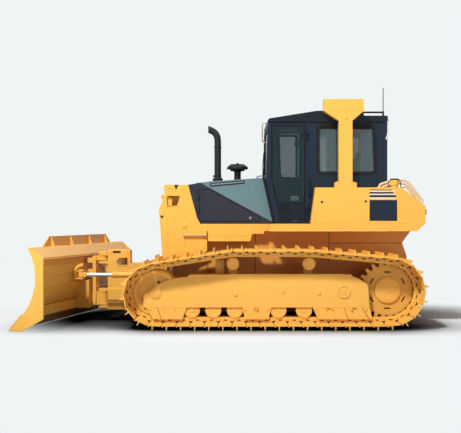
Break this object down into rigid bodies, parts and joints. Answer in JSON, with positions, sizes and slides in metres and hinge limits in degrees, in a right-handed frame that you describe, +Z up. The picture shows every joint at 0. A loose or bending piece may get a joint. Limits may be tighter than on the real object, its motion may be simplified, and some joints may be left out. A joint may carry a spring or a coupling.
{
  "type": "crawler bulldozer",
  "caption": "Crawler bulldozer with an angling and tilting blade on a C-frame, wide grouser tracks, an enclosed cab and a roll-over frame.",
  "frame": {"origin": "middle of the machine's bounding box in plan, on the ground the tracks stand on", "axes": "+X towards the rear, -X is the direction of travel and the blade; +Y the machine's right side; +Z up"},
  "size_m": [5.7206, 3.855, 3.36],
  "materials": {
    "yellow_paint": "semi-gloss enamel",
    "dark_paint": "semi-gloss enamel",
    "black_paint": "satin enamel",
    "worn_steel": "worn",
    "track_steel": "dry earth film",
    "rod_chrome": "polished",
    "glass": "tinted",
    "upholstery": "matte",
    "trim_plastic": "matte",
    "dark_metal": "matte"
  },
  "bodies": {
    "machine": {"main_frame": "yellow_paint", "engine_block": "dark_metal", "radiator_guard": "yellow_paint", "radiator_grille": "dark_paint", "nose_plates": "yellow_paint", "hood": "dark_paint", "exhaust_pipe": "dark_paint", "air_precleaner": "dark_paint", "platform": "yellow_paint", "cab_shell": "dark_paint", "cab_roof": "dark_paint", "cab_glass": "glass", "rops_frame": "yellow_paint", "fuel_tank": "yellow_paint", "operator_seat": "upholstery", "control_consoles": "trim_plastic", "equalizer_bar": "yellow_paint", "pivot_shaft": "dark_metal", "drawbar": "yellow_paint", "handrails": "yellow_paint", "side_steps": "yellow_paint", "work_lamps": "black_paint", "antenna": "trim_plastic", "track_left": "yellow_paint", "track_frame_left": "yellow_paint", "idler_left": "yellow_paint", "sprocket_left": "yellow_paint", "track_rollers_left": "yellow_paint", "carrier_rollers_left": "yellow_paint", "rear_box_left": "yellow_paint", "track_right": "yellow_paint", "track_frame_right": "yellow_paint", "idler_right": "yellow_paint", "sprocket_right": "yellow_paint", "track_rollers_right": "yellow_paint", "carrier_rollers_right": "yellow_paint", "rear_box_right": "yellow_paint"},
    "blade_frame": {"blade_frame": "yellow_paint"},
    "blade_yoke": {"blade_yoke": "yellow_paint"},
    "blade": {"blade": "yellow_paint", "cutting_edge": "worn_steel"},
    "tilt_barrel": {"tilt_barrel": "yellow_paint"},
    "tilt_rod": {"tilt_rod": "rod_chrome"},
    "lift_barrel_left": {"lift_barrel_left": "yellow_paint"},
    "lift_rod_left": {"lift_rod_left": "rod_chrome"},
    "angle_barrel_left": {"angle_barrel_left": "yellow_paint"},
    "angle_rod_left": {"angle_rod_left": "rod_chrome"},
    "engine_door_left": {"engine_door_left": "dark_paint"},
    "cab_door_left": {"cab_door_left": "dark_paint", "cab_door_glass_left": "glass"},
    "lift_barrel_right": {"lift_barrel_right": "yellow_paint"},
    "lift_rod_right": {"lift_rod_right": "rod_chrome"},
    "angle_barrel_right": {"angle_barrel_right": "yellow_paint"},
    "angle_rod_right": {"angle_rod_right": "rod_chrome"},
    "engine_door_right": {"engine_door_right": "dark_paint"},
    "cab_door_right": {"cab_door_right": "dark_paint", "cab_door_glass_right": "glass"}
  },
  "joints": [
    {"name": "blade_lift", "type": "hinge", "parent": "machine", "child": "blade_frame", "pos_m": [0.42033, -0.08081, 0.52], "axis": [0, 1, 0], "range_deg": [-8.5, 19.6]},
    {"name": "blade_angle", "type": "hinge", "parent": "blade_frame", "child": "blade_yoke", "pos_m": [-1.82967, -0.08081, 0.52], "axis": [0, 0, 1], "range_deg": [-10.2, 33.8]},
    {"name": "blade_tilt", "type": "hinge", "parent": "blade_yoke", "child": "blade", "pos_m": [-1.82967, -0.08081, 0.33], "axis": [-0.9789, 0.2045, 0], "range_deg": [-6, 6]},
    {"name": "lift_barrel_pivot_left", "type": "hinge", "parent": "machine", "child": "lift_barrel_left", "pos_m": [-0.58967, -0.60181, 1.41], "axis": [0, 1, 0], "range_deg": [-1.31, 2.49]},
    {"name": "lift_rod_slide_left", "type": "slide", "parent": "lift_barrel_left", "child": "lift_rod_left", "axis": [-0.2836, 0, -0.9589], "range_m": [-0.4216, 0.1851]},
    {"name": "lift_barrel_pivot_right", "type": "hinge", "parent": "machine", "child": "lift_barrel_right", "pos_m": [-0.58967, 0.44019, 1.41], "axis": [0, 1, 0], "range_deg": [-1.31, 2.49]},
    {"name": "lift_rod_slide_right", "type": "slide", "parent": "lift_barrel_right", "child": "lift_rod_right", "axis": [-0.2836, 0, -0.9589], "range_m": [-0.4216, 0.1851]},
    {"name": "angle_barrel_pivot_left", "type": "hinge", "parent": "blade_frame", "child": "angle_barrel_left", "pos_m": [-0.92967, -0.59481, 0.7], "axis": [0, 0, 1], "range_deg": [-1.92, 5.44]},
    {"name": "angle_rod_slide_left", "type": "slide", "parent": "angle_barrel_left", "child": "angle_rod_left", "axis": [-0.9997, -0.0247, 0], "range_m": [-0.3356, 0.1041]},
    {"name": "angle_barrel_pivot_right", "type": "hinge", "parent": "blade_frame", "child": "angle_barrel_right", "pos_m": [-0.92967, 0.43319, 0.7], "axis": [0, 0, 1], "range_deg": [-2.02, 5.78]},
    {"name": "angle_rod_slide_right", "type": "slide", "parent": "angle_barrel_right", "child": "angle_rod_right", "axis": [-0.9962, 0.0874, 0], "range_m": [-0.1067, 0.3444]},
    {"name": "tilt_barrel_pivot", "type": "hinge", "parent": "blade_yoke", "child": "tilt_barrel", "pos_m": [-2.00338, 0.01678, 0.885], "axis": [-0.9789, 0.2045, 0], "range_deg": [-6.7, 6.7]},
    {"name": "tilt_rod_slide", "type": "slide", "parent": "tilt_barrel", "child": "tilt_rod", "axis": [0.2042, 0.9776, -0.0514], "range_m": [-0.0612, 0.0612]},
    {"name": "engine_door_hinge_left", "type": "hinge", "parent": "machine", "child": "engine_door_left", "pos_m": [-0.38567, -0.69681, 1.7], "axis": [0, 0, 1], "range_deg": [-100, 0]},
    {"name": "cab_door_hinge_left", "type": "hinge", "parent": "machine", "child": "cab_door_left", "pos_m": [1.13833, -0.87681, 2.15], "axis": [0, 0, 1], "range_deg": [0, 95]},
    {"name": "engine_door_hinge_right", "type": "hinge", "parent": "machine", "child": "engine_door_right", "pos_m": [-0.38567, 0.53519, 1.7], "axis": [0, 0, 1], "range_deg": [0, 100]},
    {"name": "cab_door_hinge_right", "type": "hinge", "parent": "machine", "child": "cab_door_right", "pos_m": [1.13833, 0.71519, 2.15], "axis": [0, 0, 1], "range_deg": [-95, 0]}
  ],
  "couplings": [
    {"joint": "lift_barrel_pivot_left", "follows": "blade_lift", "ratio": 0.10671},
    {"joint": "lift_rod_slide_left", "follows": "blade_lift", "m_per_rad": -1.2209},
    {"joint": "lift_barrel_pivot_right", "follows": "blade_lift", "ratio": 0.10671},
    {"joint": "lift_rod_slide_right", "follows": "blade_lift", "m_per_rad": -1.2209},
    {"joint": "angle_barrel_pivot_left", "follows": "blade_angle", "ratio": 0.14915},
    {"joint": "angle_rod_slide_left", "follows": "blade_angle", "m_per_rad": -0.56208},
    {"joint": "angle_barrel_pivot_right", "follows": "blade_angle", "ratio": 0.15915},
    {"joint": "angle_rod_slide_right", "follows": "blade_angle", "m_per_rad": 0.57708},
    {"joint": "tilt_barrel_pivot", "follows": "blade_tilt", "ratio": 1.05},
    {"joint": "tilt_rod_slide", "follows": "blade_tilt", "m_per_rad": 0.55618}
  ]
}
